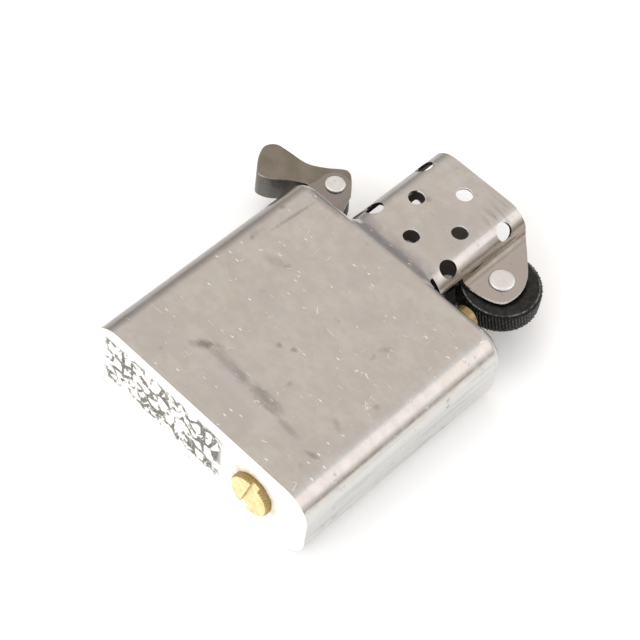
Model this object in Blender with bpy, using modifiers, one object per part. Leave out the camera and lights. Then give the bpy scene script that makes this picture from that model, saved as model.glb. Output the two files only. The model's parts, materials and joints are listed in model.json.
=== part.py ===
"""Inside unit of a windproof flip-top petrol lighter, lying on its back.

X runs across the case towards the flint wheel, Y runs from the felt at the bottom to the mouth of
the chimney, and Z comes out of the front face. The origin is the centre of the flat back face.
"""

import bmesh
import bpy
from math import cos, hypot, pi, radians, sin
from mathutils import Matrix, Vector

MM = 0.001

# Case: a drawn steel shell, open at the bottom.
CASE_W = 36.0 * MM
CASE_T = 11.8 * MM
CASE_H = 34.4 * MM
CASE_CORNER = 3.8 * MM
SHOULDER = 1.3 * MM
SHEET = 0.5 * MM
RIM_Y = -CASE_H / 2
DECK_Y = CASE_H / 2
MID_Z = CASE_T / 2

# Chimney: rises from the deck, a little thinner than the case, with a slot down each narrow end.
CHIMNEY_X = -1.4 * MM
CHIMNEY_W = 16.3 * MM
CHIMNEY_T = CASE_T - 1.0 * MM
CHIMNEY_TOP_Y = DECK_Y + 17.1 * MM
CHIMNEY_CORNER = 3.5 * MM
CHIMNEY_SLOT = 3.6 * MM
CHIMNEY_SLOT_FOOT = 1.3 * MM
CHIMNEY_SLOT_REACH = 2.6 * MM

# Air holes: three rows on each broad side, with two, one and two places in a row.
HOLE_R = 1.13 * MM
CORNER_HOLE_R = 1.25 * MM
HOLE_ROWS = (3.6 * MM, 8.6 * MM, 13.6 * MM)
HOLE_STEP = 3.75 * MM
CORNER_HOLE_ANGLES = (radians(31), radians(43))
BASE_NOTCH_W = 2.2 * MM
BASE_NOTCH_H = 0.7 * MM
BASE_NOTCH_FOOT = 0.25 * MM

# Flint wheel, on a rivet between two ears that continue the chimney.
WHEEL_X = 9.7 * MM
WHEEL_Y = DECK_Y + 9.1 * MM
WHEEL_R = 5.5 * MM
WHEEL_T = 3.2 * MM
WHEEL_TEETH = 60
TOOTH_DEPTH = 0.22 * MM
WHEEL_EAR_INSIDE = 1.8 * MM
WHEEL_EAR_OUTSIDE = 2.2 * MM
RIVET_SHANK_R = 0.95 * MM
RIVET_HEAD_R = 1.7 * MM
RIVET_HEAD_T = 0.35 * MM
RUNNING_GAP = 0.07 * MM
SEAT_GAP = 0.05 * MM

# Cam lever, a folded sheet on a rivet between two ears that stand on the deck.
CAM_X = -14.8 * MM
CAM_Y = DECK_Y + 3.95 * MM
CAM_W = 4.2 * MM
CAM_SHEET = 0.4 * MM
CAM_EAR_INSIDE = 2.2 * MM
CAM_EAR_OUTSIDE = 2.6 * MM
CAM_SHANK_R = 0.8 * MM
CAM_HEAD_R = 1.35 * MM
CAM_SLOT_X = (-17.0 * MM, -11.6 * MM)

# Flint feed: a brass tube from the deck to the felt, closed by the slotted screw.
TUBE_R = 1.8 * MM
TUBE_BORE_R = 1.45 * MM
TUBE_TOP_Y = DECK_Y + 3.2 * MM
TUBE_FOOT_Y = RIM_Y + 0.1 * MM
FLINT_R = 1.25 * MM
FLINT_L = 5.0 * MM
FLINT_TOP_Y = WHEEL_Y - WHEEL_R - 0.15 * MM
TIP_R = 1.3 * MM
TIP_L = 2.4 * MM
TIP_HEAD_L = 0.96 * MM
SPRING_COIL_R = 1.0 * MM
SPRING_WIRE_R = 0.2 * MM
SPRING_TURNS = 15
SCREW_HEAD_R = 3.0 * MM
SCREW_HEAD_T = 1.1 * MM
SCREW_SHANK_R = 1.35 * MM
SCREW_SHANK_L = 3.6 * MM
SCREW_SLOT_W = 1.1 * MM
SCREW_SLOT_DEPTH = 0.55 * MM
SCREW_SLOT_ANGLE = radians(14)

# Felt, cotton and wick.
FELT_FACE_Y = RIM_Y + 0.1 * MM
FELT_T = 2.0 * MM
FELT_GAP = 0.3 * MM
FOLD_X = 3.5 * MM
FOLD_GAP = 0.2 * MM
WICK_R = 1.3 * MM
WICK_TOP_Y = DECK_Y + 10.6 * MM
WICK_FOOT_Y = RIM_Y + 3.6 * MM
PLATE_T = 0.8 * MM
PLATE_Y = DECK_Y + 0.2 * MM


def clear_scene():
    for obj in list(bpy.data.objects):
        bpy.data.objects.remove(obj, do_unlink=True)


def new_collection(name, hidden=False):
    collection = bpy.data.collections.new(name)
    bpy.context.scene.collection.children.link(collection)
    collection.hide_render = hidden
    return collection


clear_scene()
PARTS = new_collection("lighter_insert")
CUTTERS = new_collection("cutters", hidden=True)


def material(name, colour, roughness, metallic):
    made = bpy.data.materials.new(name)
    made.use_nodes = True
    shader = made.node_tree.nodes["Principled BSDF"]
    shader.inputs["Base Color"].default_value = (*colour, 1.0)
    shader.inputs["Roughness"].default_value = roughness
    shader.inputs["Metallic"].default_value = metallic
    return made


# Points of an outline, as (x, y) pairs.


def arc(x, y, radius, start, end, steps):
    """Points round a centre, from one angle in degrees to another."""
    angles = [radians(start + (end - start) * i / steps) for i in range(steps + 1)]
    return [(x + radius * cos(a), y + radius * sin(a)) for a in angles]


def rounded_box(x, y, width, height, radius, steps=6):
    """A rectangle with round corners about a centre."""
    dx, dy = width / 2 - radius, height / 2 - radius
    corners = ((dx, dy, 0), (-dx, dy, 90), (-dx, -dy, 180), (dx, -dy, 270))
    return [p for cx, cy, a in corners for p in arc(x + cx, y + cy, radius, a, a + 90, steps)]


def smooth_path(points, steps, closed=False):
    """A Catmull-Rom curve through the points."""
    count = len(points)
    spans = count if closed else count - 1

    def at(i):
        return Vector(points[i % count] if closed else points[min(max(i, 0), count - 1)])

    made = []
    for i in range(spans):
        a, b, c, d = at(i - 1), at(i), at(i + 1), at(i + 2)
        square = 2 * a - 5 * b + 4 * c - d
        cube = 3 * b - a - 3 * c + d
        for k in range(steps):
            t = k / steps
            made.append(0.5 * (2 * b + (c - a) * t + square * t**2 + cube * t**3))
    if not closed:
        made.append(at(count - 1))
    return [tuple(p) for p in made]


def beside(points, distance):
    """The open path moved to its left by a distance."""
    moved = []
    for i, (x, y) in enumerate(points):
        ax, ay = points[max(i - 1, 0)]
        bx, by = points[min(i + 1, len(points) - 1)]
        length = hypot(bx - ax, by - ay)
        moved.append((x - (by - ay) / length * distance, y + (bx - ax) / length * distance))
    return moved


def about(x, y, points):
    """Points in millimetres about a centre in metres."""
    return [(x + px * MM, y + py * MM) for px, py in points]


# Solids.


def finish(obj, look, collection=PARTS):
    collection.objects.link(obj)
    if look:
        obj.data.materials.append(look)
    if obj.type == "MESH":
        obj.data.shade_smooth()
        obj.data.set_sharp_from_angle(angle=radians(35))
    if collection is CUTTERS:
        obj.hide_render = True
        obj.display_type = "WIRE"
    return obj


def curve_to_mesh(name, data, matrix):
    """A mesh object from a curve, with its caps welded."""
    guide = bpy.data.objects.new(name + "_curve", data)
    bpy.context.scene.collection.objects.link(guide)
    guide.matrix_world = matrix
    bpy.context.view_layer.update()
    graph = bpy.context.evaluated_depsgraph_get()
    mesh = bpy.data.meshes.new_from_object(guide.evaluated_get(graph))
    mesh.transform(guide.matrix_world)
    bpy.data.objects.remove(guide)
    welded = bmesh.new()
    welded.from_mesh(mesh)
    bmesh.ops.remove_doubles(welded, verts=welded.verts, dist=1e-7)
    flat = radians(0.2)
    bmesh.ops.dissolve_limit(welded, angle_limit=flat, verts=welded.verts, edges=welded.edges)
    bmesh.ops.recalc_face_normals(welded, faces=welded.faces)
    welded.to_mesh(mesh)
    welded.free()
    mesh.materials.clear()
    return bpy.data.objects.new(name, mesh)


def outline_solid(name, outlines, low, high, along="Z"):
    """Closed outlines filled flat and extruded. Along Z the points are (x, y), along Y they are (x, z)."""
    data = bpy.data.curves.new(name, "CURVE")
    data.dimensions = "2D"
    data.fill_mode = "BOTH"
    data.extrude = (high - low) / 2
    for points in outlines:
        spline = data.splines.new("POLY")
        spline.points.add(len(points) - 1)
        for point, (x, y) in zip(spline.points, points):
            point.co = (x, y, 0, 1)
        spline.use_cyclic_u = True
    if along == "Z":
        matrix = Matrix.Translation((0, 0, (low + high) / 2))
    else:
        matrix = Matrix.Translation((0, (low + high) / 2, 0)) @ Matrix.Rotation(pi / 2, 4, "X")
    return curve_to_mesh(name, data, matrix)


def turned(name, profile, place, axis="Z", steps=24, ring=False):
    """A solid of revolution. The profile is (radius, height) pairs from the top down the outer side."""
    count = len(profile)
    edges = [(i, (i + 1) % count) for i in range(count if ring else count - 1)]
    mesh = bpy.data.meshes.new(name)
    mesh.from_pydata([(r, 0, h) for r, h in profile], edges, [])
    obj = bpy.data.objects.new(name, mesh)
    obj.location = place
    if axis == "Y":
        obj.rotation_euler = (-pi / 2, 0, 0)
    spin = obj.modifiers.new("turn", "SCREW")
    spin.steps = spin.render_steps = steps
    spin.use_merge_vertices = True
    spin.merge_threshold = 1e-6
    spin.use_smooth_shade = False
    return obj


def from_bmesh(name, shape):
    mesh = bpy.data.meshes.new(name)
    shape.to_mesh(mesh)
    shape.free()
    return bpy.data.objects.new(name, mesh)


def cylinder(name, place, radius, length, direction=(0, 0, 1), steps=20):
    """A cylinder about its middle, along a direction."""
    shape = bmesh.new()
    bmesh.ops.create_cone(
        shape, cap_ends=True, segments=steps, radius1=radius, radius2=radius, depth=length,
    )
    turn = Vector((0, 0, 1)).rotation_difference(Vector(direction)).to_matrix().to_4x4()
    shape.transform(Matrix.Translation(place) @ turn)
    return from_bmesh(name, shape)


def box(name, low, high):
    shape = bmesh.new()
    size = Vector(high) - Vector(low)
    bmesh.ops.create_cube(shape, size=1.0, matrix=Matrix.Diagonal((*size, 1)))
    shape.transform(Matrix.Translation((Vector(low) + Vector(high)) / 2))
    return from_bmesh(name, shape)


def boolean(obj, other, operation):
    modifier = obj.modifiers.new(other.name, "BOOLEAN")
    modifier.object = finish(other, None, CUTTERS)
    modifier.operation = operation
    modifier.solver = "EXACT"


def apply_modifiers(obj):
    """The evaluated mesh in place of the modifiers."""
    bpy.context.view_layer.update()
    graph = bpy.context.evaluated_depsgraph_get()
    mesh = bpy.data.meshes.new_from_object(obj.evaluated_get(graph))
    obj.modifiers.clear()
    obj.data = mesh
    mesh.shade_smooth()
    mesh.set_sharp_from_angle(angle=radians(35))


def move_origin(obj, place):
    """Puts the object's origin on its joint's axis and leaves its shape where it is."""
    obj.data.transform(Matrix.Translation(-Vector(place)))
    obj.location = place


def round_far_edges(obj, y, radius, segments):
    """Bevels the outline of the flat face at this y."""
    mesh = obj.data
    weights = mesh.attributes.new("bevel_weight_edge", "FLOAT", "EDGE")
    for edge in mesh.edges:
        if all(abs(mesh.vertices[v].co.y - y) < 1e-6 for v in edge.vertices):
            weights.data[edge.index].value = 1.0
    bevel = obj.modifiers.new("shoulder", "BEVEL")
    bevel.limit_method = "WEIGHT"
    bevel.width = radius
    bevel.segments = segments
    bevel.use_clamp_overlap = False


def case_solid():
    """The drawn body: a round-cornered box with a round shoulder, hollow and open at the rim."""
    outline = rounded_box(0, MID_Z, CASE_W, CASE_T, CASE_CORNER)
    body = outline_solid("insert_case", [outline], RIM_Y, DECK_Y, along="Y")
    round_far_edges(body, DECK_Y, SHOULDER, 4)
    return body


def case_hollow():
    outline = rounded_box(0, MID_Z, CASE_W - 2 * SHEET, CASE_T - 2 * SHEET, CASE_CORNER - SHEET)
    hollow = outline_solid("case_hollow", [outline], RIM_Y - SHEET, DECK_Y - SHEET, along="Y")
    round_far_edges(hollow, DECK_Y - SHEET, SHOULDER - SHEET, 3)
    return hollow


def chimney(name, inset, low, high):
    outline = rounded_box(
        CHIMNEY_X, MID_Z, CHIMNEY_W - 2 * inset, CHIMNEY_T - 2 * inset, CHIMNEY_CORNER - inset
    )
    return outline_solid(name, [outline], low, high, along="Y")


def wheel_ear_outline():
    edge = [
        (-3.2, 8.05), (-2.35, 7.35), (0, 5.0), (1.93, 2.82), (2.8, 0.55), (2.69, -1.7),
        (1.9, -2.8), (0.4, -3.45), (-1.3, -3.75), (-3.2, -4.1),
    ]
    return smooth_path(about(WHEEL_X, WHEEL_Y, edge), 3)


def cam_ear_outline():
    foot = (DECK_Y - CAM_Y) / MM - SHEET / MM / 2
    side = [(-2.7, foot), (-2.1, -1.6)]
    top = arc(0, 0, 2.15, 190, 40, 10)
    return about(CAM_X, CAM_Y, side + top + [(2.6, 0.25), (4.6, foot)])


def both_sides(inside, outside):
    """The two z ranges of a pair of plates at equal distances from the middle plane."""
    return ((MID_Z + inside, MID_Z + outside), (MID_Z - outside, MID_Z - inside))


def air_holes():
    """Cutters of the chimney's air holes: straight through on the flats, square to the round corners."""
    lower, middle, upper = (DECK_Y + row for row in HOLE_ROWS)
    for x, y in (
        (CHIMNEY_X, lower), (CHIMNEY_X, upper),
        (CHIMNEY_X - HOLE_STEP, middle), (CHIMNEY_X + HOLE_STEP, middle),
    ):
        yield cylinder("air_hole", (x, y, MID_Z), HOLE_R, 2 * CASE_T)
    for side_x in (-1, 1):
        for side_z in (-1, 1):
            centre = Vector((
                CHIMNEY_X + side_x * (CHIMNEY_W / 2 - CHIMNEY_CORNER),
                0,
                MID_Z + side_z * (CHIMNEY_T / 2 - CHIMNEY_CORNER),
            ))
            for y, angle in zip((lower, upper), CORNER_HOLE_ANGLES):
                direction = Vector((side_x * sin(angle), 0, side_z * cos(angle)))
                place = centre + direction * CHIMNEY_CORNER + Vector((0, y, 0))
                yield cylinder("corner_hole", place, CORNER_HOLE_R, 3 * MM, direction)


def case_cutters():
    """Everything that is cut from the case after its walls are hollow."""
    slot_low = DECK_Y + CHIMNEY_SLOT_FOOT
    slot_z = (MID_Z - CHIMNEY_SLOT / 2, MID_Z + CHIMNEY_SLOT / 2)
    for side_x in (-1, 1):
        outer = CHIMNEY_X + side_x * (CHIMNEY_W / 2 + MM)
        inner = CHIMNEY_X + side_x * (CHIMNEY_W / 2 - CHIMNEY_SLOT_REACH)
        low_x, high_x = sorted((outer, inner))
        yield box(
            "end_slot", (low_x, slot_low, slot_z[0]), (high_x, CHIMNEY_TOP_Y + MM, slot_z[1])
        )
    yield from air_holes()
    notch_x = CHIMNEY_X + CHIMNEY_W / 2 - 2 * MM
    notch_y = DECK_Y + BASE_NOTCH_FOOT
    for side_z in (-1, 1):
        z = MID_Z + side_z * (CHIMNEY_T / 2 - 1.2 * MM)
        yield box(
            "base_notch",
            (notch_x, notch_y, z - MM),
            (notch_x + BASE_NOTCH_W, notch_y + BASE_NOTCH_H, z + MM),
        )
    cam_slot_half = CAM_W / 2 - 0.1 * MM
    yield box(
        "cam_slot",
        (CAM_SLOT_X[0], DECK_Y - 2 * MM, MID_Z - cam_slot_half),
        (CAM_SLOT_X[1], DECK_Y + 1.2 * MM, MID_Z + cam_slot_half),
    )
    yield cylinder("tube_hole", (WHEEL_X, DECK_Y, MID_Z), TUBE_R + 0.1 * MM, 3 * MM, (0, 1, 0), 24)
    wheel_hole_r = RIVET_SHANK_R + SEAT_GAP
    yield cylinder("wheel_rivet_hole", (WHEEL_X, WHEEL_Y, MID_Z), wheel_hole_r, CASE_T)
    yield cylinder("cam_rivet_hole", (CAM_X, CAM_Y, MID_Z), CAM_SHANK_R + SEAT_GAP, CASE_T)


def make_case(look):
    body = case_solid()
    finish(body, look)
    boolean(body, chimney("chimney_outside", 0, DECK_Y - 3 * MM, CHIMNEY_TOP_Y), "UNION")
    boolean(body, case_hollow(), "DIFFERENCE")
    boolean(body, chimney("chimney_inside", SHEET, DECK_Y - 2 * MM, CHIMNEY_TOP_Y + MM), "DIFFERENCE")
    apply_modifiers(body)
    for low, high in both_sides(WHEEL_EAR_INSIDE, WHEEL_EAR_OUTSIDE):
        boolean(body, outline_solid("wheel_ear", [wheel_ear_outline()], low, high), "UNION")
    for low, high in both_sides(CAM_EAR_INSIDE, CAM_EAR_OUTSIDE):
        boolean(body, outline_solid("cam_ear", [cam_ear_outline()], low, high), "UNION")
    apply_modifiers(body)
    for cutter in case_cutters():
        boolean(body, cutter, "DIFFERENCE")
    apply_modifiers(body)
    return body


def make_wick_plate(look):
    """The floor of the chimney, with the hole that the wick comes up through."""
    inset = SHEET + 0.1 * MM
    outline = rounded_box(
        CHIMNEY_X, MID_Z, CHIMNEY_W - 2 * inset, CHIMNEY_T - 2 * inset, CHIMNEY_CORNER - inset
    )
    hole = arc(CHIMNEY_X, MID_Z, WICK_R + 0.2 * MM, 360, 0, 20)[:-1]
    finish(outline_solid("wick_plate", [outline, hole], PLATE_Y, PLATE_Y + PLATE_T, along="Y"), look)


def toothed_outline():
    points = []
    for i in range(2 * WHEEL_TEETH):
        angle = pi * i / WHEEL_TEETH
        radius = WHEEL_R - TOOTH_DEPTH * (i % 2)
        points.append((WHEEL_X + radius * cos(angle), WHEEL_Y + radius * sin(angle)))
    return points


def make_flint_wheel(look):
    bore = arc(WHEEL_X, WHEEL_Y, RIVET_SHANK_R + RUNNING_GAP, 360, 0, 24)[:-1]
    half = WHEEL_T / 2
    wheel = outline_solid("flint_wheel", [toothed_outline(), bore], MID_Z - half, MID_Z + half)
    move_origin(wheel, (WHEEL_X, WHEEL_Y, MID_Z))
    finish(wheel, look)


def make_rivet(name, look, axis, shank_r, head_r, ear_outside):
    """A shank through both ears with a low domed head on each."""
    seat = ear_outside + SEAT_GAP
    top = seat + RIVET_HEAD_T
    half = [(0, top), (head_r * 0.6, top - 0.04 * MM), (head_r * 0.92, top - 0.12 * MM)]
    half += [(head_r, seat + 0.1 * MM), (head_r, seat), (shank_r, seat)]
    profile = half + [(r, -h) for r, h in reversed(half)]
    finish(turned(name, profile, (*axis, MID_Z)), look)


CAM_HEEL_TO_TIP = [
    (2.3, 0.4), (1.3, 1.85), (0.15, 3.0), (-0.55, 3.38), (-1.4, 3.2), (-3.3, 1.5), (-5.4, 0.25),
    (-8.2, -0.08), (-10.2, -0.45), (-11.05, -1.8), (-10.45, -3.5), (-9.1, -5.2), (-8.2, -5.85),
]
CAM_UNDERSIDE = [(-6.6, -5.25), (-4.5, -3.3), (-2.1, -2.05), (0.3, -2.25), (1.9, -1.4)]


def make_cam(look):
    """A lever folded from sheet: two equal cheeks joined by a web over the back and under the tail."""
    outline = smooth_path(about(CAM_X, CAM_Y, CAM_HEEL_TO_TIP + CAM_UNDERSIDE), 3, closed=True)
    cam = outline_solid("cam", [outline], MID_Z - CAM_W / 2, MID_Z + CAM_W / 2)
    finish(cam, look)
    web = smooth_path(about(CAM_X, CAM_Y, CAM_HEEL_TO_TIP[2:] + CAM_UNDERSIDE[:3]), 3)
    hollow = beside(web, CAM_SHEET) + about(CAM_X, CAM_Y, [(-2.1, -8.0), (4.0, -8.0), (4.0, 3.2)])
    half = CAM_W / 2 - CAM_SHEET
    boolean(cam, outline_solid("cam_hollow", [hollow], MID_Z - half, MID_Z + half), "DIFFERENCE")
    bore = cylinder("cam_bore", (CAM_X, CAM_Y, MID_Z), CAM_SHANK_R + RUNNING_GAP, CASE_T, steps=24)
    boolean(cam, bore, "DIFFERENCE")
    apply_modifiers(cam)
    move_origin(cam, (CAM_X, CAM_Y, MID_Z))


def make_cam_spring(look):
    """A leaf welded inside the case wall, bent over so that its end lies in the slot under the cam."""
    wall_x = -CASE_W / 2 + SHEET + 0.1 * MM
    leaf = 0.3 * MM
    bend = 1.6 * MM
    bend_y = DECK_Y - SHEET - 2.6 * MM
    path = [(wall_x, RIM_Y + 11 * MM), (wall_x, bend_y)]
    path += arc(wall_x + bend, bend_y, bend, 180, 110, 5)[1:]
    path += [(CAM_X - 0.3 * MM, DECK_Y - 0.1 * MM), (CAM_X + 1.2 * MM, DECK_Y + 0.1 * MM)]
    path += [(CAM_X + 2.4 * MM, DECK_Y - 0.5 * MM)]
    outline = path + list(reversed(beside(path, -leaf)))
    half = CAM_W / 2 - 0.45 * MM
    finish(outline_solid("cam_spring", [outline], MID_Z - half, MID_Z + half), look)


def make_flint_tube(look):
    length = TUBE_TOP_Y - TUBE_FOOT_Y
    edge = 0.1 * MM
    ring = [(TUBE_BORE_R, length), (TUBE_R - edge, length), (TUBE_R, length - edge)]
    ring += [(TUBE_R, 0), (TUBE_BORE_R, 0)]
    finish(turned("flint_tube", ring, (WHEEL_X, TUBE_FOOT_Y, MID_Z), axis="Y", ring=True), look)


def make_flint(look):
    chamfer = 0.15 * MM
    profile = [(0, 0), (FLINT_R - chamfer, 0), (FLINT_R, -chamfer), (FLINT_R, chamfer - FLINT_L)]
    profile += [(FLINT_R - chamfer, -FLINT_L), (0, -FLINT_L)]
    finish(turned("flint", profile, (WHEEL_X, FLINT_TOP_Y, MID_Z), axis="Y", steps=20), look)


def make_spring_tip(look):
    """The brass plug that the spring pushes the flint with. Its stem sits in the spring's last turns."""
    top = FLINT_TOP_Y - FLINT_L - SEAT_GAP
    stem = SPRING_COIL_R - SPRING_WIRE_R - 0.1 * MM
    profile = [(0, 0), (TIP_R, 0), (TIP_R, -TIP_HEAD_L), (stem, -TIP_HEAD_L), (stem, -TIP_L)]
    profile.append((0, -TIP_L))
    finish(turned("spring_tip", profile, (WHEEL_X, top, MID_Z), axis="Y", steps=20), look)


def make_flint_spring(look):
    low = RIM_Y + SCREW_SHANK_L + SPRING_WIRE_R + SEAT_GAP
    high = FLINT_TOP_Y - FLINT_L - SEAT_GAP - TIP_HEAD_L - SPRING_WIRE_R - SEAT_GAP
    steps = 8
    data = bpy.data.curves.new("flint_spring", "CURVE")
    data.dimensions = "3D"
    data.bevel_depth = SPRING_WIRE_R
    data.bevel_resolution = 2
    data.use_fill_caps = True
    count = SPRING_TURNS * steps + 1
    spline = data.splines.new("POLY")
    spline.points.add(count - 1)
    for i, point in enumerate(spline.points):
        angle = 2 * pi * i / steps
        y = low + (high - low) * i / (count - 1)
        x = WHEEL_X + SPRING_COIL_R * cos(angle)
        point.co = (x, y, MID_Z + SPRING_COIL_R * sin(angle), 1)
    finish(curve_to_mesh("flint_spring", data, Matrix()), look)


def make_flint_screw(look):
    """The slotted brass screw that closes the tube. Its head bears on the felt."""
    edge = 0.25 * MM
    under = 0.1 * MM
    profile = [(0, SCREW_SHANK_L), (SCREW_SHANK_R - edge, SCREW_SHANK_L)]
    profile += [(SCREW_SHANK_R, SCREW_SHANK_L - edge), (SCREW_SHANK_R, 0)]
    profile += [(SCREW_HEAD_R - under, 0), (SCREW_HEAD_R, -under), (SCREW_HEAD_R, edge - SCREW_HEAD_T)]
    profile += [(SCREW_HEAD_R - edge, -SCREW_HEAD_T), (0, -SCREW_HEAD_T)]
    screw = turned("flint_screw", profile, (WHEEL_X, RIM_Y, MID_Z), axis="Y", steps=32)
    finish(screw, look)
    slot = box(
        "screw_slot",
        (-SCREW_SLOT_W / 2, -SCREW_HEAD_T - MM, -2 * SCREW_HEAD_R),
        (SCREW_SLOT_W / 2, SCREW_SLOT_DEPTH - SCREW_HEAD_T, 2 * SCREW_HEAD_R),
    )
    turn = Matrix.Rotation(SCREW_SLOT_ANGLE, 4, "Y")
    slot.data.transform(Matrix.Translation((WHEEL_X, RIM_Y, MID_Z)) @ turn)
    boolean(screw, slot, "DIFFERENCE")


def felt_half(side, edge_x):
    """The felt's outline on one side of a line across it."""
    margin = SHEET + FELT_GAP
    corner = CASE_CORNER - margin
    dx, dz = CASE_W / 2 - margin - corner, CASE_T / 2 - margin - corner
    end = arc(dx, MID_Z - dz, corner, 270, 360, 6) + arc(dx, MID_Z + dz, corner, 0, 90, 6)
    return [(edge_x, margin)] + [(side * x, z) for x, z in end] + [(edge_x, CASE_T - margin)]


def make_felt(look):
    """The felt that closes the bottom: the part round the tube, and the flap that lifts for filling."""
    inner_y = FELT_FACE_Y + FELT_T
    hole = arc(WHEEL_X, MID_Z, TUBE_R + 0.1 * MM, 360, 0, 20)[:-1]
    outlines = [felt_half(1, FOLD_X + FOLD_GAP / 2), hole]
    finish(outline_solid("felt_pad", outlines, FELT_FACE_Y, inner_y, along="Y"), look)
    outlines = [felt_half(-1, FOLD_X - FOLD_GAP / 2)]
    flap = outline_solid("felt_flap", outlines, FELT_FACE_Y, inner_y, along="Y")
    move_origin(flap, (FOLD_X, FELT_FACE_Y, MID_Z))
    finish(flap, look)


def make_wick(look):
    """The woven wick: straight up through the plate, then to and fro between the cotton."""
    straight_y = DECK_Y - 2 * MM
    sway = 2.2 * MM
    waves = 2.5
    length = straight_y - WICK_FOOT_Y
    points = [(CHIMNEY_X, WICK_TOP_Y, MID_Z), (CHIMNEY_X, (WICK_TOP_Y + straight_y) / 2, MID_Z)]
    count = 22
    for i in range(count + 1):
        t = i / count
        z = MID_Z + sway * sin(waves * 2 * pi * t) * min(1, 4 * t)
        points.append((CHIMNEY_X, straight_y - length * t, z))
    data = bpy.data.curves.new("wick", "CURVE")
    data.dimensions = "3D"
    data.bevel_depth = WICK_R
    data.bevel_resolution = 2
    data.use_fill_caps = True
    spline = data.splines.new("POLY")
    spline.points.add(len(points) - 1)
    for point, place in zip(spline.points, points):
        point.co = (*place, 1)
    finish(curve_to_mesh("wick", data, Matrix()), look)


def make_cotton(look):
    """Wads of cotton packed round the wick and the tube, as squashed balls."""
    half_z = CASE_T / 2 - SHEET - 0.35 * MM
    left_x, left_rx = -9.9 * MM, 6.3 * MM
    right_x, right_rx = 3.9 * MM, 3.4 * MM
    far_x, far_rx = 14.35 * MM, 2.6 * MM
    balls = [(left_x, RIM_Y + y * MM, left_rx, 4.7 * MM) for y in (7.3, 16.9, 26.5)]
    balls += [(right_x, RIM_Y + y * MM, right_rx, 7.0 * MM) for y in (9.7, 24.4)]
    balls.append((far_x, RIM_Y + 17.0 * MM, far_rx, 12.5 * MM))
    for i, (x, y, rx, ry) in enumerate(balls, start=1):
        shape = bmesh.new()
        bmesh.ops.create_uvsphere(shape, u_segments=14, v_segments=9, radius=1.0)
        shape.transform(Matrix.Diagonal((rx, ry, half_z, 1)))
        mesh = bpy.data.meshes.new(f"cotton_ball_{i}")
        shape.to_mesh(mesh)
        shape.free()
        ball = bpy.data.objects.new(f"cotton_ball_{i}", mesh)
        ball.location = (x, y, MID_Z)
        finish(ball, look)


def main():
    steel = material("worn_steel", (0.52, 0.49, 0.46), 0.38, 1.0)
    cam_steel = material("dark_steel", (0.28, 0.25, 0.23), 0.42, 1.0)
    wheel_steel = material("blackened_steel", (0.03, 0.03, 0.032), 0.5, 0.6)
    rivet_steel = material("bright_steel", (0.78, 0.77, 0.75), 0.3, 1.0)
    spring_steel = material("spring_steel", (0.45, 0.45, 0.46), 0.35, 1.0)
    brass = material("brass", (0.8, 0.6, 0.25), 0.3, 1.0)
    flint_metal = material("flint_alloy", (0.2, 0.19, 0.18), 0.7, 0.4)
    felt = material("felt", (0.85, 0.83, 0.77), 0.95, 0.0)
    cotton = material("cotton", (0.9, 0.9, 0.88), 0.95, 0.0)
    wick_yarn = material("wick_yarn", (0.75, 0.68, 0.56), 0.9, 0.0)

    make_case(steel)
    make_wick_plate(steel)
    make_flint_wheel(wheel_steel)
    wheel_axis, cam_axis = (WHEEL_X, WHEEL_Y), (CAM_X, CAM_Y)
    make_rivet("wheel_rivet", rivet_steel, wheel_axis, RIVET_SHANK_R, RIVET_HEAD_R, WHEEL_EAR_OUTSIDE)
    make_cam(cam_steel)
    make_rivet("cam_rivet", rivet_steel, cam_axis, CAM_SHANK_R, CAM_HEAD_R, CAM_EAR_OUTSIDE)
    make_cam_spring(spring_steel)
    make_flint_tube(brass)
    make_flint(flint_metal)
    make_spring_tip(brass)
    make_flint_spring(spring_steel)
    make_flint_screw(brass)
    make_felt(felt)
    make_wick(wick_yarn)
    make_cotton(cotton)


main()
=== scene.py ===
"""Looks of the lighter insert: worn drawn steel, blackened wheel, brass and felt, on a white floor."""

import json
from math import atan2, cos, degrees, hypot, pi, radians, sin, sqrt

import bmesh
import bpy
from mathutils import Matrix, Vector, noise


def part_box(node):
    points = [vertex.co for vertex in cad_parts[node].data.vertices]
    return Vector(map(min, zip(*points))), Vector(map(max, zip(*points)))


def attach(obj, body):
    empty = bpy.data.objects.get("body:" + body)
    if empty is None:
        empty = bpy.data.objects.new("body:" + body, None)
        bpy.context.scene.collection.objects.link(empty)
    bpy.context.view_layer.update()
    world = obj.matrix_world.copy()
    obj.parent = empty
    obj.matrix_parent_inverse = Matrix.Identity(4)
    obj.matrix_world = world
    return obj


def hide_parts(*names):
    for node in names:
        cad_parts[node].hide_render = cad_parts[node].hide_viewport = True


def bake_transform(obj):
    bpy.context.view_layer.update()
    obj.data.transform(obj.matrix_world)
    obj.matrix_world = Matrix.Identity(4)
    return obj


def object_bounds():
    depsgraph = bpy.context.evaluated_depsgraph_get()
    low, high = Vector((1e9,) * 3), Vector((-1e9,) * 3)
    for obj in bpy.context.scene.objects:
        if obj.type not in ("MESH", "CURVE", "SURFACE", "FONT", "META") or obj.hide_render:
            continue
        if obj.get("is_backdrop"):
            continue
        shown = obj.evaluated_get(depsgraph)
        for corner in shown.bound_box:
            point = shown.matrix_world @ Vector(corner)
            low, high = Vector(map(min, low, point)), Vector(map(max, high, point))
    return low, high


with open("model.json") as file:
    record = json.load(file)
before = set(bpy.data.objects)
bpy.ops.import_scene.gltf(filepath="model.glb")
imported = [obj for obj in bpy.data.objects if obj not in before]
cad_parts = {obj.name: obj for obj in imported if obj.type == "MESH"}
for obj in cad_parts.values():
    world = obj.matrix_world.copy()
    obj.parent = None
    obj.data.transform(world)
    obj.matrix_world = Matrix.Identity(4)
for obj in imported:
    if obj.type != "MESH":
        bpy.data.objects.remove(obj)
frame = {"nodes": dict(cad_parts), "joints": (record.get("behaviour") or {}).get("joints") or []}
CAD_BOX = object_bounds()

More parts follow.
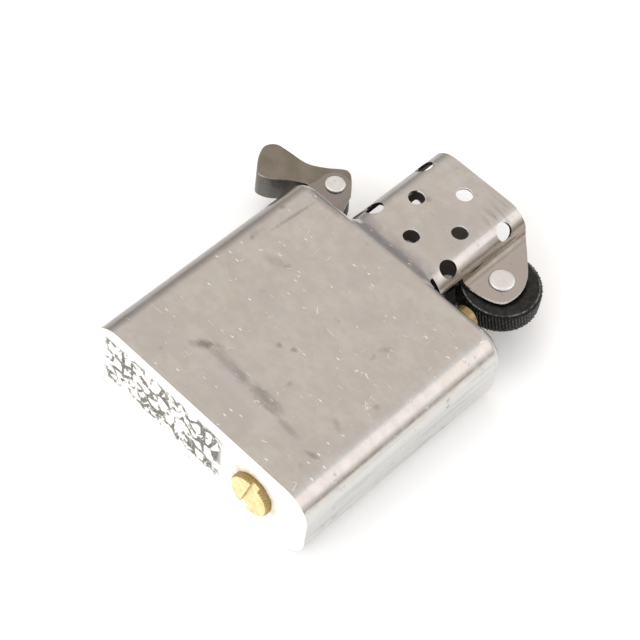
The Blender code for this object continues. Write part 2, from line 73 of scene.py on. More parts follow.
MM = 0.001


def corners(node):
    """The low and the high corner of a node's box."""
    return [Vector(corner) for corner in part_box(node)]


# Places read from the frame.
JOINTS = {joint["name"]: joint for joint in frame["joints"]}
CASE_LOW, CASE_HIGH = corners("insert_case")
WHEEL_LOW, WHEEL_HIGH = corners("flint_wheel")
CAM_LOW, CAM_HIGH = corners("cam")
SCREW_LOW, SCREW_HIGH = corners("flint_screw")
TUBE_LOW, TUBE_HIGH = corners("flint_tube")
PAD_LOW, PAD_HIGH = corners("felt_pad")
WHEEL_AXIS = Vector(JOINTS["wheel_spin"]["pos_m"])
WHEEL_R = (WHEEL_HIGH.x - WHEEL_LOW.x) / 2
CAM_AXIS = Vector(JOINTS["cam_swing"]["pos_m"])
FLAP_AXIS = Vector(JOINTS["flap_lift"]["pos_m"])

# Case.
CASE_W = CASE_HIGH.x - CASE_LOW.x
CASE_T = CASE_HIGH.z - CASE_LOW.z
MID_Z = CASE_T / 2
RIM_Y = CASE_LOW.y
DECK_Y = -RIM_Y
TOP_Y = CASE_HIGH.y
CORNER = 3.8 * MM
SHOULDER = 1.3 * MM
SHEET = 0.5 * MM
RIM_T = 0.2 * MM

# Chimney.
CHIMNEY_X = -1.4 * MM
CHIMNEY_HALF_W = 8.15 * MM
CHIMNEY_HALF_T = MID_Z - 0.5 * MM
CHIMNEY_CORNER = 3.5 * MM
FOOT_FILLET = 0.8 * MM
FRONT_BLEND = (DECK_Y - 1.15 * MM, DECK_Y + 1.2 * MM)
SLOT_HALF = 1.8 * MM
SLOT_FOOT_Y = DECK_Y + 1.3 * MM
HOLE_R = 1.13 * MM
CORNER_HOLE_R = 1.25 * MM
HOLE_ROWS = (3.6 * MM, 8.6 * MM, 13.6 * MM)
HOLE_STEP = 3.75 * MM
CORNER_HOLE_ANGLES = (radians(31), radians(43))

# Ears.
EAR_OUTSIDE = 2.2 * MM
EAR_T = 0.4 * MM
EAR_FILLET = 1.1 * MM
CAM_EAR_INSIDE = 2.2 * MM
CAM_EAR_OUTSIDE = 2.6 * MM
WHEEL_RIVET_HOLE_R = 1.0 * MM
CAM_RIVET_HOLE_R = 0.85 * MM
CUT_EDGE_ROUND = 0.12 * MM
CUT_EDGE_ANGLE = radians(50)


# -------- outlines


def arc(x, y, radius, start, end, steps):
    """Points round a centre, from one angle in degrees to another."""
    angles = [radians(start + (end - start) * i / steps) for i in range(steps + 1)]
    return [(x + radius * cos(a), y + radius * sin(a)) for a in angles]


def rounded_box(x, y, half_w, half_h, radius, steps=14):
    dx, dy = half_w - radius, half_h - radius
    corners = ((dx, dy, 0), (-dx, dy, 90), (-dx, -dy, 180), (dx, -dy, 270))
    return [p for cx, cy, a in corners for p in arc(x + cx, y + cy, radius, a, a + 90, steps)]


def smooth_path(points, steps, closed=False):
    """A Catmull-Rom curve through the points."""
    count = len(points)

    def at(i):
        return Vector(points[i % count] if closed else points[min(max(i, 0), count - 1)])

    made = []
    for i in range(count if closed else count - 1):
        a, b, c, d = at(i - 1), at(i), at(i + 1), at(i + 2)
        for k in range(steps):
            t = k / steps
            square, cube = 2 * a - 5 * b + 4 * c - d, 3 * b - a - 3 * c + d
            made.append(0.5 * (2 * b + (c - a) * t + square * t**2 + cube * t**3))
    if not closed:
        made.append(at(count - 1))
    return [tuple(p) for p in made]


def beside(points, distance):
    """The open path moved to its left by a distance."""
    moved = []
    for i, (x, y) in enumerate(points):
        ax, ay = points[max(i - 1, 0)]
        bx, by = points[min(i + 1, len(points) - 1)]
        length = hypot(bx - ax, by - ay)
        moved.append((x - (by - ay) / length * distance, y + (bx - ax) / length * distance))
    return moved


def about(centre, points):
    """Points in millimetres about a centre in metres."""
    return [(centre[0] + px * MM, centre[1] + py * MM) for px, py in points]


# -------- solids


def new_object(name, data):
    """An object in the scene."""
    obj = bpy.data.objects.new(name, data)
    bpy.context.scene.collection.objects.link(obj)
    return obj


def as_object(name, shape):
    """An object from a bmesh, its faces turned outward."""
    bmesh.ops.recalc_face_normals(shape, faces=shape.faces)
    mesh = bpy.data.meshes.new(name)
    shape.to_mesh(mesh)
    shape.free()
    return new_object(name, mesh)


def join_rings(shape, rings):
    """Four-sided faces between each ring of vertices and the next."""
    for low, high in zip(rings, rings[1:]):
        for a, b, c, d in zip(low, low[1:] + low[:1], high[1:] + high[:1], high):
            shape.faces.new((a, b, c, d))


def loft(name, sections):
    """A closed solid through rings of points, with a flat cap on each end."""
    shape = bmesh.new()
    rings = [[shape.verts.new(p) for p in section] for section in sections]
    join_rings(shape, rings)
    shape.faces.new(rings[0])
    shape.faces.new(rings[-1])
    return as_object(name, shape)


def plate(name, outline, low, high, edge=0.0, segments=2):
    """An outline in x and y between two heights, its edges rounded."""
    turns = [pi / 2 * i / segments for i in range(segments + 1)] if edge else [pi / 2]
    below = [(low + edge * (1 - cos(a)), edge * (1 - sin(a))) for a in turns]
    sections = below + [(low + high - z, gap) for z, gap in reversed(below)]
    ring = outline + [outline[0]]
    area = sum(a[0] * b[1] - b[0] * a[1] for a, b in zip(ring, ring[1:]))
    side = 1 if area > 0 else -1

    def inward(gap):
        if not gap:
            return outline
        wrapped = [outline[-1]] + outline + [outline[0]]
        return beside(wrapped, side * gap)[1:-1]

    return loft(name, [[(x, y, z) for x, y in inward(gap)] for z, gap in sections])


def turned(name, profile, place, axis="Z", steps=64, ring=False):
    """A solid of revolution. The profile is (radius, height) pairs from the top down the outer side."""
    count = len(profile)
    mesh = bpy.data.meshes.new(name)
    edges = [(i, (i + 1) % count) for i in range(count if ring else count - 1)]
    mesh.from_pydata([(r, 0, h) for r, h in profile], edges, [])
    obj = new_object(name, mesh)
    spin = obj.modifiers.new("turn", "SCREW")
    spin.steps = spin.render_steps = steps
    spin.use_merge_vertices = True
    spin.merge_threshold = 1e-7
    apply_modifiers(obj)
    turn = Matrix.Rotation(-pi / 2, 4, "X") if axis == "Y" else Matrix()
    obj.data.transform(Matrix.Translation(place) @ turn)
    return obj


def cylinder(name, place, radius, length, direction=(0, 0, 1), steps=40):
    shape = bmesh.new()
    bmesh.ops.create_cone(
        shape, cap_ends=True, segments=steps, radius1=radius, radius2=radius, depth=length
    )
    turn = Vector((0, 0, 1)).rotation_difference(Vector(direction)).to_matrix().to_4x4()
    shape.transform(Matrix.Translation(place) @ turn)
    return as_object(name, shape)


def box(name, low, high):
    shape = bmesh.new()
    size = Vector(high) - Vector(low)
    bmesh.ops.create_cube(shape, size=1.0, matrix=Matrix.Diagonal((*size, 1)))
    shape.transform(Matrix.Translation((Vector(low) + Vector(high)) / 2))
    return as_object(name, shape)


def apply_modifiers(obj):
    bpy.context.view_layer.update()
    graph = bpy.context.evaluated_depsgraph_get()
    mesh = bpy.data.meshes.new_from_object(obj.evaluated_get(graph))
    obj.modifiers.clear()
    obj.data = mesh


def combine(obj, others, operation):
    """Booleans with each of the others in turn, which are then removed."""
    for other in others:
        modifier = obj.modifiers.new(other.name, "BOOLEAN")
        modifier.object = other
        modifier.operation = operation
        modifier.solver = "EXACT"
        apply_modifiers(obj)
        bpy.data.objects.remove(other)


def smooth(obj, angle=30):
    obj.data.shade_smooth()
    obj.data.set_sharp_from_angle(angle=radians(angle))


# -------- materials


# The colour sockets of a mix node, by number, as its other kinds use the same names.
MIX_A, MIX_B, MIX_RESULT = 6, 7, 2


class Nodes:
    """A short way to build a material's node tree."""

    def __init__(self, name, metallic=0.0):
        self.material = bpy.data.materials.new(name)
        self.material.use_nodes = True
        self.tree = self.material.node_tree
        self.shader = self.tree.nodes["Principled BSDF"]
        self.shader.inputs["Metallic"].default_value = metallic
        self.place = self.add("ShaderNodeTexCoord").outputs["Object"]

    def add(self, kind, **settings):
        node = self.tree.nodes.new(kind)
        for key, value in settings.items():
            setattr(node, key, value)
        return node

    def put(self, value, socket):
        if isinstance(value, bpy.types.NodeSocket):
            self.tree.links.new(value, socket)
        else:
            socket.default_value = value

    def scaled(self, scale, turn=(0, 0, 0)):
        node = self.add("ShaderNodeMapping")
        self.put(self.place, node.inputs["Vector"])
        node.inputs["Scale"].default_value = scale
        node.inputs["Rotation"].default_value = turn
        return node.outputs["Vector"]

    def noise(self, scale, detail=3.0, rough=0.5, stretch=(1, 1, 1), turn=(0, 0, 0), distortion=0.0):
        """Noise with `scale` features in a millimetre."""
        node = self.add("ShaderNodeTexNoise")
        self.put(self.scaled([1000 * scale * s for s in stretch], turn), node.inputs["Vector"])
        node.inputs["Scale"].default_value = 1.0
        node.inputs["Detail"].default_value = detail
        node.inputs["Roughness"].default_value = rough
        node.inputs["Distortion"].default_value = distortion
        return node.outputs["Fac"]

    def cells(self, scale, feature="F1", stretch=(1, 1, 1), turn=(0, 0, 0)):
        node = self.add("ShaderNodeTexVoronoi", feature=feature)
        self.put(self.scaled([1000 * scale * s for s in stretch], turn), node.inputs["Vector"])
        node.inputs["Scale"].default_value = 1.0
        return node.outputs["Distance"]

    def math(self, operation, a, b=0.0):
        node = self.add("ShaderNodeMath", operation=operation)
        self.put(a, node.inputs[0])
        self.put(b, node.inputs[1])
        return node.outputs[0]

    def plus(self, a, b):
        return self.math("ADD", a, b)

    def minus(self, a, b):
        return self.math("SUBTRACT", a, b)

    def times(self, a, *others):
        for other in others:
            a = self.math("MULTIPLY", a, other)
        return a

    def most(self, a, *others):
        for other in others:
            a = self.math("MAXIMUM", a, other)
        return a

    def size(self, a):
        return self.math("ABSOLUTE", a)

    def length(self, a, b):
        """The length of a line with these two sides."""
        return self.math("SQRT", self.plus(self.times(a, a), self.times(b, b)))

    def span(self, value, low, high, to_low=0.0, to_high=1.0, kind="SMOOTHSTEP"):
        """The value's range from low to high, spread over another range."""
        node = self.add("ShaderNodeMapRange", interpolation_type=kind)
        for socket, number in zip(("Value", "From Min", "From Max", "To Min", "To Max"),
                                  (value, low, high, to_low, to_high)):
            self.put(number, node.inputs[socket])
        return node.outputs["Result"]

    def fall(self, value, low, high):
        """One at the low end of the range and zero at its high end."""
        return self.span(value, low, high, 1.0, 0.0)

    def mix(self, amount, a, b, blend="MIX"):
        node = self.add("ShaderNodeMix", data_type="RGBA", blend_type=blend)
        self.put(amount, node.inputs[0])
        for socket, colour in ((node.inputs[MIX_A], a), (node.inputs[MIX_B], b)):
            self.put(colour if isinstance(colour, bpy.types.NodeSocket) else (*colour, 1.0), socket)
        return node.outputs[MIX_RESULT]

    def tint(self, under, mask, strength, colour):
        return self.mix(self.times(mask, strength), under, colour)

    def axis(self, name):
        """The place along X, Y or Z, in millimetres."""
        node = self.add("ShaderNodeSeparateXYZ")
        self.put(self.scaled((1000, 1000, 1000)), node.inputs[0])
        return node.outputs[name]

    def normal(self, name):
        node = self.add("ShaderNodeSeparateXYZ")
        self.put(self.add("ShaderNodeTexCoord").outputs["Normal"], node.inputs[0])
        return node.outputs[name]

    def bump(self, height, deep, strength=1.0, under=None):
        """A bump that is `deep` millimetres deep."""
        node = self.add("ShaderNodeBump")
        self.put(height, node.inputs["Height"])
        node.inputs["Distance"].default_value = deep * MM
        node.inputs["Strength"].default_value = strength
        if under:
            self.put(under, node.inputs["Normal"])
        return node.outputs["Normal"]

    def finish(self, colour, roughness, normal=None, metallic=None):
        for name, value in (
            ("Base Color", colour), ("Roughness", roughness), ("Normal", normal), ("Metallic", metallic),
        ):
            if value is not None:
                self.put(value, self.shader.inputs[name])
        return self.material


# Heights in millimetres over which a tint begins just above the deck.
ABOVE_DECK = (17.3, 17.6)

# Rubbed marks on the front: middle x and y, half length and half width in
# millimetres, turn in degrees, strength.
SMEARS = (
    (-6.5, -10.1, 1.5, 0.55, 38, 1.0), (-3.0, -10.0, 3.0, 0.8, -2, 0.45), (-0.6, -10.0, 1.8, 0.7, -4, 0.6),
    (3.9, -10.1, 2.4, 0.75, -3, 0.7), (4.6, -10.8, 1.8, 0.35, 2, 0.6), (8.4, -11.0, 1.7, 0.45, -6, 0.45),
    (1.1, -2.8, 0.4, 0.3, 20, 0.7), (-0.5, -3.6, 0.35, 0.3, 60, 0.55), (-13.2, 11.5, 3.0, 0.22, 86, 0.55),
    (8.5, 5.5, 0.8, 0.4, 50, 0.35), (-9.5, 5.0, 1.4, 0.6, 20, 0.3), (12.0, -6.5, 1.0, 0.4, -30, 0.35),
    (13.0, -11.5, 0.7, 0.35, 10, 0.6), (-14.5, 6.0, 1.2, 0.5, 80, 0.3), (-12.3, 16.1, 3.4, 0.5, -2, 0.6),
)


def smear(n, x, y, wobble, mark):
    """A soft ellipse with a ragged edge."""
    mark_x, mark_y, length, width, turn, strength = mark
    turn = radians(turn)
    dx, dy = n.minus(x, mark_x), n.minus(y, mark_y)
    along = n.plus(n.times(dx, cos(turn) / length), n.times(dy, sin(turn) / length))
    across = n.minus(n.times(dy, cos(turn) / width), n.times(dx, sin(turn) / width))
    return n.span(n.plus(n.length(along, across), wobble), 0.1, 1.7, strength, 0.0)


def worn_steel():
    """Drawn stainless sheet: warm grey, mottled, with handling marks and rubbed dark smears, with painted
    shade and painted highlights.
    """
    n = Nodes("worn_steel", metallic=1.0)
    x, y, z = n.axis("X"), n.axis("Y"), n.axis("Z")
    mottle = n.noise(0.55, 5, 0.62, stretch=(0.8, 1.1, 1))
    patches = n.noise(0.13, 3, 0.55, distortion=0.6)
    colour = n.mix(n.span(mottle, 0.34, 0.68), (0.575, 0.55, 0.52), (0.63, 0.61, 0.585))
    colour = n.mix(n.span(patches, 0.48, 0.72, 0, 0.6), colour, (0.545, 0.525, 0.51))
    colour = n.mix(n.span(n.noise(0.21, 3, 0.6), 0.56, 0.75, 0, 0.5), colour, (0.60, 0.54, 0.46))
    # Heat has browned the chimney's wheel-side corner, and the brown is made deeper there as painted
    # shade. The valley at the chimney's foot gets painted shade.
    streak = n.span(n.noise(0.5, 3, 0.6, stretch=(2.6, 0.35, 1)), 0.3, 0.6, 0.75, 1.0)
    heat_stain_and_shade = n.times(n.span(x, 5.0, 6.3), n.span(x, 6.9, 8.2, 1.0, 0.12))
    heat_stain_and_shade = n.times(heat_stain_and_shade, streak, n.span(y, 17.5, 19.0))
    colour = n.tint(colour, heat_stain_and_shade, 0.9, (0.24, 0.195, 0.15))
    # Painted shade along the valley where the chimney rises from the body.
    foot = n.times(n.span(y, 15.9, 17.3), n.fall(y, 18.0, 20.0))
    foot = n.times(foot, n.span(n.noise(0.5, 4, 0.65), 0.3, 0.65, 0.25, 0.8))
    colour = n.mix(foot, colour, (0.37, 0.35, 0.36))
    # The shoulder and the left corners are darker.
    shoulder = n.times(n.span(y, 16.35, 16.75), n.fall(y, *ABOVE_DECK))
    shoulder = n.times(shoulder, n.span(n.noise(0.35, 3, 0.6), 0.3, 0.6, 0.65, 0.95))
    from_chimney = n.size(n.minus(x, CHIMNEY_X / MM))
    shoulder = n.times(shoulder, n.span(from_chimney, 7.5, 9.2, 0.1, 1.0))
    colour = n.mix(shoulder, colour, (0.20, 0.175, 0.16))
    corner = n.times(n.fall(x, -8.2, -7.0), n.span(y, 17.4, 18.4))
    corner = n.most(corner, n.fall(x, -16.4, -14.9))
    corner = n.times(corner, n.span(n.noise(0.3, 3, 0.6), 0.3, 0.6, 0.78, 0.88))
    colour = n.mix(corner, colour, (0.22, 0.20, 0.185))
    # The narrow sides are paler, with draw lines along them and a few dark spots.
    side = n.span(n.size(x), 17.3, 17.8)
    colour = n.mix(n.times(side, 0.6, n.span(x, 0.0, 1.0)), colour, (0.65, 0.665, 0.65))
    lines = n.span(n.noise(1.1, 3, 0.6, stretch=(1.0, 0.07, 1.0)), 0.5, 0.66, 0.0, 0.45)
    colour = n.mix(n.times(lines, side), colour, (0.45, 0.44, 0.43))
    specks = n.span(n.noise(0.6, 4, 0.7, stretch=(1.0, 0.6, 1.0)), 0.62, 0.68, 0.0, 0.7)
    colour = n.mix(n.times(specks, side), colour, (0.26, 0.25, 0.24))
    # The wheel ears are a little duller and the cam ears much more. The cut edges of the wheel ears and
    # the air holes, and the rim's lip, get a painted highlight: near-white and not metallic.
    from_middle = n.size(n.minus(z, MID_Z / MM))
    ear = n.times(n.span(x, 7.4, 8.2), n.fall(from_middle, 2.25, 2.5))
    ear = n.times(ear, n.span(y, *ABOVE_DECK))
    colour = n.tint(colour, ear, 0.9, (0.47, 0.43, 0.405))
    flat = n.times(n.fall(from_chimney, 4.3, 4.6), n.span(y, 19.6, 19.8))
    cut = n.fall(n.size(n.normal("Z")), 0.9, 0.96)
    cut = n.times(cut, n.most(ear, flat))
    cut = n.most(cut, n.fall(y, RIM_Y / MM + 0.1, RIM_Y / MM + 0.2))
    colour = n.tint(colour, cut, 0.95, (0.97, 0.95, 0.92))
    dull = n.times(n.fall(x, -12.6, -12.2), n.span(y, 17.25, 17.6))
    colour = n.tint(colour, dull, 0.95, (0.31, 0.285, 0.27))

    front = n.span(z, 11.2, 11.7)
    front_chimney = n.span(z, 10.6, 11.0)
    wobble = n.times(n.minus(n.noise(1.3, 4, 0.7, stretch=(0.6, 1.4, 1)), 0.5), 2.2)
    dark = smear(n, x, y, wobble, SMEARS[0])
    for mark in SMEARS[1:]:
        dark = n.most(dark, smear(n, x, y, wobble, mark))
    colour = n.mix(n.times(dark, front, 0.72), colour, (0.17, 0.155, 0.16))
    pale = smear(n, x, y, 0.0, (-0.5, -11.6, 8.0, 0.7, -2, 0.5))
    colour = n.mix(n.times(pale, front), colour, (0.64, 0.60, 0.62))
    spots = n.fall(n.cells(0.3, "SMOOTH_F1"), 0.02, 0.2)
    spots = n.times(spots, n.span(n.noise(0.4, 2), 0.5, 0.62))
    colour = n.tint(colour, spots, 0.5, (0.28, 0.26, 0.24))

    # Fine parallel scratches near the chimney's top corner.
    hatch = n.span(n.noise(1.8, 2, 0.5, stretch=(0.1, 1.0, 1.0), turn=(0, 0, radians(25))), 0.5, 0.6)
    hatch = n.times(hatch, smear(n, x, y, 0.0, (4.6, 31.0, 3.2, 2.0, -35, 0.45)))
    colour = n.mix(n.times(hatch, front_chimney), colour, (0.30, 0.27, 0.25))

    # Short scratches and dimples, scattered over the front: real marks, painted near-white as painted
    # glints.
    scratch = n.cells(0.33, "DISTANCE_TO_EDGE", stretch=(0.35, 1.5, 1), turn=(0, 0, radians(50)))
    scratch = n.fall(scratch, 0.0, 0.02)
    scratch = n.times(scratch, n.span(n.noise(0.6, 2), 0.63, 0.68))
    finer = n.cells(0.5, "DISTANCE_TO_EDGE", stretch=(1.4, 0.4, 1), turn=(0, 0, radians(-35)))
    finer = n.times(n.fall(finer, 0.0, 0.015), n.span(n.noise(0.45, 2), 0.63, 0.69))
    dimple = n.fall(n.cells(0.7, stretch=(0.7, 1.5, 1), turn=(0, 0, radians(15))), 0.06, 0.18)
    dimple = n.times(dimple, n.span(n.noise(0.24, 2), 0.49, 0.55))
    marks = n.times(n.most(scratch, finer, dimple), front)
    colour = n.tint(colour, marks, 0.92, (1.0, 0.98, 0.94))

    # Soot and painted shade on all that lies inside the chimney's outer face.
    corner_x = n.most(n.minus(from_chimney, (CHIMNEY_HALF_W - CHIMNEY_CORNER) / MM), 0.0)
    corner_z = n.most(n.minus(from_middle, (CHIMNEY_HALF_T - CHIMNEY_CORNER) / MM), 0.0)
    inner = CHIMNEY_CORNER / MM - 0.2
    soot_and_shade = n.times(n.fall(n.length(corner_x, corner_z), inner - 0.1, inner), n.span(y, *ABOVE_DECK))
    colour = n.tint(colour, soot_and_shade, 0.93, (0.03, 0.027, 0.024))

    grain = n.noise(3.2, 3, 0.7, stretch=(1.0, 0.22, 1.0))
    fine = n.noise(9.0, 2, 0.6)
    rough = n.span(n.noise(0.5, 4, 0.7), 0.3, 0.7, 0.17, 0.26)
    rough = n.plus(rough, n.times(marks, 0.2))
    rough = n.plus(rough, n.times(soot_and_shade, 0.4))
    normal = n.bump(grain, 0.014, 0.5)
    normal = n.bump(fine, 0.006, 0.35, normal)
    normal = n.bump(n.noise(0.35, 3), 0.06, 0.35, normal)
    normal = n.bump(n.times(dimple, -1.0), 0.05, 0.8, normal)
    # Metallic drops to zero on the painted edge highlight.
    return n.finish(colour, rough, normal, n.span(cut, 0.0, 1.0, 1.0, 0.0, "LINEAR"))


def dark_steel():
    n = Nodes("dark_steel", metallic=1.0)
    patches = n.noise(0.35, 4, 0.6)
    colour = n.mix(n.span(patches, 0.35, 0.65), (0.225, 0.205, 0.165), (0.285, 0.25, 0.215))
    colour = n.mix(n.span(n.noise(0.9, 3), 0.6, 0.75, 0, 0.4), colour, (0.33, 0.30, 0.29))
    # Painted shade: the cam's upright walls are painted darker than its faces.
    side_wall_shade = n.fall(n.size(n.normal("Z")), 0.12, 0.45)
    wall_shade_colour = n.mix(n.noise(0.6, 3, stretch=(1.6, 1.6, 0.3)), (0.10, 0.098, 0.09), (0.23, 0.225, 0.20))
    colour = n.tint(colour, side_wall_shade, 0.9, wall_shade_colour)
    normal = n.bump(n.noise(4.0, 3, 0.7), 0.01, 0.6)
    return n.finish(colour, n.span(patches, 0.3, 0.7, 0.24, 0.34), normal)


def blackened_steel():
    """Blackened steel, its edge and the tips of its teeth rubbed a little brighter; the edge is also a
    painted highlight, and the grooves get painted shade.
    """
    n = Nodes("blackened_steel", metallic=0.85)
    x, y = n.axis("X"), n.axis("Y")
    dx, dy = n.minus(x, WHEEL_AXIS.x / MM), n.minus(y, WHEEL_AXIS.y / MM)
    radius = n.length(dx, dy)
    outer = WHEEL_R / MM
    colour = n.mix(n.span(n.noise(1.2, 4, 0.7), 0.35, 0.7), (0.022, 0.022, 0.021), (0.048, 0.047, 0.044))
    # The edge ring is wear and a painted highlight.
    edge = n.span(radius, outer - 0.62, outer - 0.5)
    edge = n.times(edge, n.fall(radius, outer - 0.42, outer - 0.34))
    edge = n.times(edge, n.span(n.noise(0.8, 3, 0.7), 0.38, 0.6))
    tip = n.times(n.span(radius, outer - 0.1, outer), 0.35)
    worn = n.most(edge, tip)
    colour = n.tint(colour, worn, 0.75, (0.30, 0.30, 0.29))
    # Painted shade deep in the grooves between the teeth.
    deep = n.fall(radius, outer - 0.30, outer - 0.16)
    deep = n.times(deep, n.span(radius, outer - 0.34, outer - 0.32))
    colour = n.tint(colour, deep, 0.85, (0.004, 0.004, 0.004))
    rough = n.span(n.noise(2.0, 3), 0.3, 0.7, 0.32, 0.5)
    return n.finish(colour, rough, n.bump(n.noise(5.0, 3, 0.6), 0.006, 0.6))


def bright_steel():
    n = Nodes("bright_steel", metallic=1.0)
    colour = n.mix(n.span(n.noise(1.0, 3, 0.6), 0.35, 0.7), (0.80, 0.80, 0.78), (0.88, 0.88, 0.865))
    rough = n.span(n.noise(1.6, 3), 0.3, 0.7, 0.3, 0.42)
    return n.finish(colour, rough, n.bump(n.noise(1.6, 3, 0.6), 0.015, 0.5))


def spring_steel():
    n = Nodes("spring_steel", metallic=1.0)
    colour = n.mix(n.noise(2.0, 3), (0.36, 0.36, 0.37), (0.55, 0.55, 0.56))
    rough = n.span(n.noise(3.0, 2), 0.3, 0.7, 0.25, 0.45)
    return n.finish(colour, rough, n.bump(n.noise(8.0, 2), 0.008, 0.5))


def brass():
    """Turned brass, bright on the face and brown in the knurl."""
    n = Nodes("brass", metallic=1.0)
    tarnish = n.span(n.noise(1.4, 4, 0.65), 0.4, 0.7)
    colour = n.mix(tarnish, (0.90, 0.79, 0.44), (0.80, 0.62, 0.27))
    side = n.fall(n.size(n.normal("Y")), 0.3, 0.85)
    colour = n.tint(colour, side, 0.75, (0.23, 0.135, 0.035))
    rough = n.span(n.noise(2.5, 3), 0.3, 0.7, 0.2, 0.36)
    return n.finish(colour, rough, n.bump(n.noise(5.0, 3, 0.7), 0.01, 0.6))


def flint_alloy():
    n = Nodes("flint_alloy", metallic=0.6)
    colour = n.mix(n.noise(3.0, 4, 0.7), (0.14, 0.13, 0.12), (0.26, 0.25, 0.24))
    rough = n.span(n.noise(2.0, 2), 0.3, 0.7, 0.55, 0.75)
    return n.finish(colour, rough, n.bump(n.noise(6.0, 4, 0.8), 0.03))


def felt():
    """Pressed white wool with rubbed ink blots on the flap and a rust stain round the screw."""
    n = Nodes("felt")
    n.shader.inputs["Sheen Weight"].default_value = 0.3
    n.shader.inputs["Sheen Roughness"].default_value = 0.6
    x, z = n.axis("X"), n.axis("Z")
    fluff = n.noise(2.2, 5, 0.7)
    colour = n.mix(n.span(fluff, 0.3, 0.7), (0.90, 0.885, 0.83), (0.98, 0.97, 0.94))
    colour = n.mix(n.span(n.noise(0.3, 3), 0.5, 0.7, 0, 0.35), colour, (0.84, 0.79, 0.65))
    # Ink: rows of smudged dabs with no shape of their own.
    strokes = n.fall(n.cells(0.62, "DISTANCE_TO_EDGE", stretch=(1.0, 1, 0.85)), 0.1, 0.17)
    dabs = n.span(n.noise(0.55, 3, 0.7, distortion=0.8), 0.43, 0.49)
    blots = n.span(n.noise(0.8, 3, 0.7, distortion=0.6), 0.60, 0.64)
    ink = n.most(n.times(strokes, dabs), blots)
    ink = n.times(ink, n.span(n.noise(4.2, 3, 0.8), 0.34, 0.42))
    reach = n.times(n.span(x, -16.6, -15.8), n.fall(x, 3.2, 4.6))
    inside = n.times(n.span(z, 1.4, 2.2), n.fall(z, 9.6, 10.5))
    ink = n.times(ink, reach, inside)
    colour = n.tint(colour, ink, 0.97, (0.055, 0.05, 0.038))
    stain = n.length(n.minus(x, WHEEL_AXIS.x / MM), n.minus(z, MID_Z / MM))
    stain = n.times(n.fall(stain, 2.8, 4.6), n.span(n.noise(0.8, 3), 0.35, 0.65))
    colour = n.tint(colour, stain, 0.55, (0.6, 0.42, 0.2))
    normal = n.bump(n.noise(3.0, 5, 0.75), 0.12, 0.7)
    normal = n.bump(n.noise(9.0, 3, 0.7, stretch=(1, 1, 0.4)), 0.05, 0.6, normal)
    return n.finish(colour, 0.95, normal)


def cotton():
    n = Nodes("cotton")
    n.shader.inputs["Sheen Weight"].default_value = 0.4
    colour = n.mix(n.noise(1.0, 4, 0.7), (0.84, 0.83, 0.79), (0.95, 0.95, 0.93))
    return n.finish(colour, 0.95, n.bump(n.noise(2.5, 5, 0.8, distortion=1.0), 0.25))


def wick_yarn():
    """Twisted yarn, charred at the top."""
    n = Nodes("wick_yarn")
    y = n.axis("Y")
    colour = n.mix(n.noise(1.5, 4, 0.7), (0.66, 0.57, 0.42), (0.84, 0.78, 0.65))
    char = n.span(n.plus(y, n.noise(0.8, 3)), DECK_Y / MM + 7.5, DECK_Y / MM + 10.5)
    colour = n.mix(char, colour, (0.03, 0.028, 0.025))
    return n.finish(colour, 0.9, n.bump(n.noise(5.0, 4, 0.8), 0.08))


def white_floor():
    n = Nodes("white_floor")
    n.shader.inputs["Specular IOR Level"].default_value = 0.0
    colour = n.mix(n.noise(0.02, 2), (0.93, 0.93, 0.93), (0.94, 0.94, 0.94))
    n.shader.inputs["Emission Color"].default_value = (1.0, 1.0, 1.0, 1.0)
    n.shader.inputs["Emission Strength"].default_value = 0.12
    return n.finish(colour, 0.8)


# -------- case


def level(y, outline):
    """An outline of (x, z) pairs at one y."""
    return [(x, y, z) for x, z in outline]


def box_ring(y, inset):
    return level(y, rounded_box(0, MID_Z, CASE_W / 2 - inset, MID_Z - inset, CORNER - inset))


def body_solid():
    """The round-cornered body, its rim broken slightly and its shoulder round."""
    lip = 0.08 * MM
    sections = [box_ring(RIM_Y, lip), box_ring(RIM_Y + lip, 0)]
    for i in range(11):
        a = pi / 2 * i / 10
        sections.append(box_ring(DECK_Y - SHOULDER * (1 - sin(a)), SHOULDER * (1 - cos(a))))
    return loft("case_shell", sections)


def body_hollow():
    inner_r = SHOULDER - SHEET
    top = DECK_Y - SHEET
    mouth = ((RIM_Y - SHEET, RIM_T), (RIM_Y + 0.4 * MM, RIM_T), (RIM_Y + MM, SHEET))
    sections = [box_ring(y, inset) for y, inset in mouth]
    for i in range(7):
        a = pi / 2 * i / 6
        sections.append(box_ring(top - inner_r * (1 - sin(a)), SHEET + inner_r * (1 - cos(a))))
    return loft("case_hollow", sections)


def ease(t):
    t = min(max(t, 0.0), 1.0)
    return t * t * (3 - 2 * t)


def chimney_half_t(y):
    """Half the chimney's thickness: it leans out at the foot to meet the broad faces."""
    low, high = FRONT_BLEND
    return CHIMNEY_HALF_T + (MID_Z - CHIMNEY_HALF_T) * (1 - ease((y - low) / (high - low)))


def chimney_half_w(y):
    """Half the chimney's width, with a fillet where it leaves the deck."""
    rise = min(max((y - DECK_Y) / FOOT_FILLET, 0.0), 1.0)
    return CHIMNEY_HALF_W + FOOT_FILLET * (1 - sqrt(1 - (1 - rise) ** 2))


def foot_ring(y):
    shrink = 0.03 * MM if y <= FRONT_BLEND[0] + 1e-6 else 0.0
    half_t = chimney_half_t(y) - shrink
    return level(y, rounded_box(CHIMNEY_X, MID_Z, chimney_half_w(y), half_t, CHIMNEY_CORNER))


def chimney_foot():
    """The foot of the chimney, up to where its end slots begin."""
    low, count = FRONT_BLEND[0] + 0.15 * MM, 16
    levels = [low + (SLOT_FOOT_Y - low) * i / count for i in range(count + 1)]
    return loft("chimney_foot", [foot_ring(y) for y in levels])


